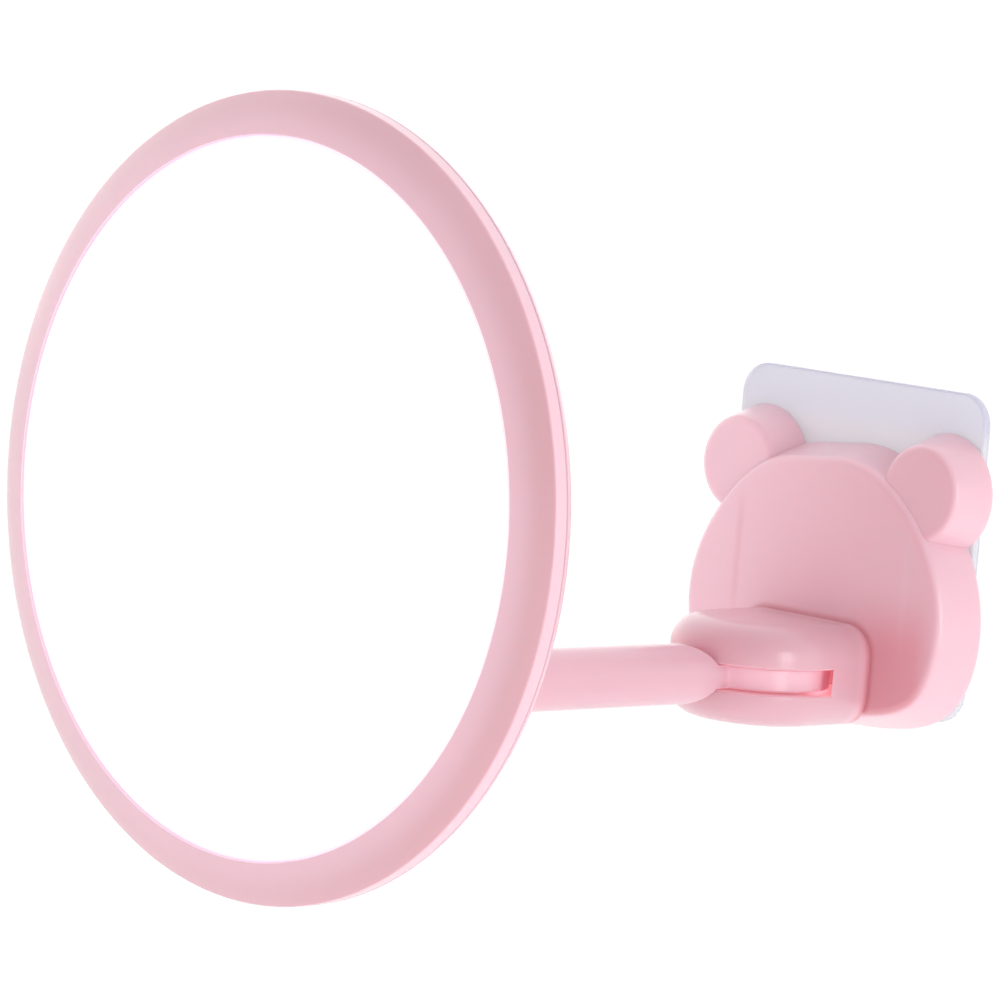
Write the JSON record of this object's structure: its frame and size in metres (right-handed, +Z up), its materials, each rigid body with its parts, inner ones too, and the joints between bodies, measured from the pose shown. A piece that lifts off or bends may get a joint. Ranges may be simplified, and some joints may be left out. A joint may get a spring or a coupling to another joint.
{
  "type": "wall-mounted folding round mirror",
  "caption": "Round mirror in a bevelled frame on a straight folding arm, hinged to a bear-head wall base that hangs on a clear adhesive plate.",
  "frame": {"origin": "centre of the adhesive film's wall side", "axes": "+X to the right of a person facing the wall, +Y into the wall, +Z up"},
  "size_m": [0.18, 0.1995, 0.18],
  "materials": {
    "film": "clear",
    "clear_plate": "clear",
    "pink_abs": "gloss",
    "pink_abs_inner": "satin",
    "zinc_steel": "bright zinc",
    "nylon": "natural",
    "mirror": "polished",
    "foam": "soft foam"
  },
  "bodies": {
    "wall": {"adhesive_film": "film", "wall_plate": "clear_plate"},
    "base": {"bear_head_shell": "pink_abs", "base_back_cover": "pink_abs_inner", "back_cover_screws": "zinc_steel", "base_pivot_screw": "zinc_steel", "base_pivot_nut": "zinc_steel", "base_pivot_washers": "zinc_steel", "pivot_screw_plug": "pink_abs"},
    "arm": {"arm": "pink_abs", "arm_tip_yoke": "pink_abs", "yoke_cross_pin": "zinc_steel", "swivel_screw": "zinc_steel", "swivel_nut": "zinc_steel", "swivel_washers": "nylon"},
    "link": {"swivel_link": "pink_abs"},
    "mirror": {"back_shell": "pink_abs", "back_shell_screws": "zinc_steel", "bezel_ring": "pink_abs", "mirror_glass": "mirror", "foam_pad": "foam", "tilt_screw": "zinc_steel", "tilt_nut": "zinc_steel", "tilt_washers": "nylon"}
  },
  "joints": [
    {"name": "base_lift_off", "type": "slide", "parent": "wall", "child": "base", "axis": [0, 0, 1], "range_m": [0, 0.009]},
    {"name": "arm_swing", "type": "hinge", "parent": "base", "child": "arm", "pos_m": [0, -0.0315, -0.03145], "axis": [0, 0, 1], "range_deg": [-80, 80]},
    {"name": "mirror_swivel", "type": "hinge", "parent": "arm", "child": "link", "pos_m": [0, -0.1585, -0.03145], "axis": [0, 0, -1], "range_deg": [-80, 80]},
    {"name": "mirror_tilt", "type": "hinge", "parent": "link", "child": "mirror", "pos_m": [0, -0.1765, -0.03145], "axis": [1, 0, 0], "range_deg": [-30, 30]}
  ]
}
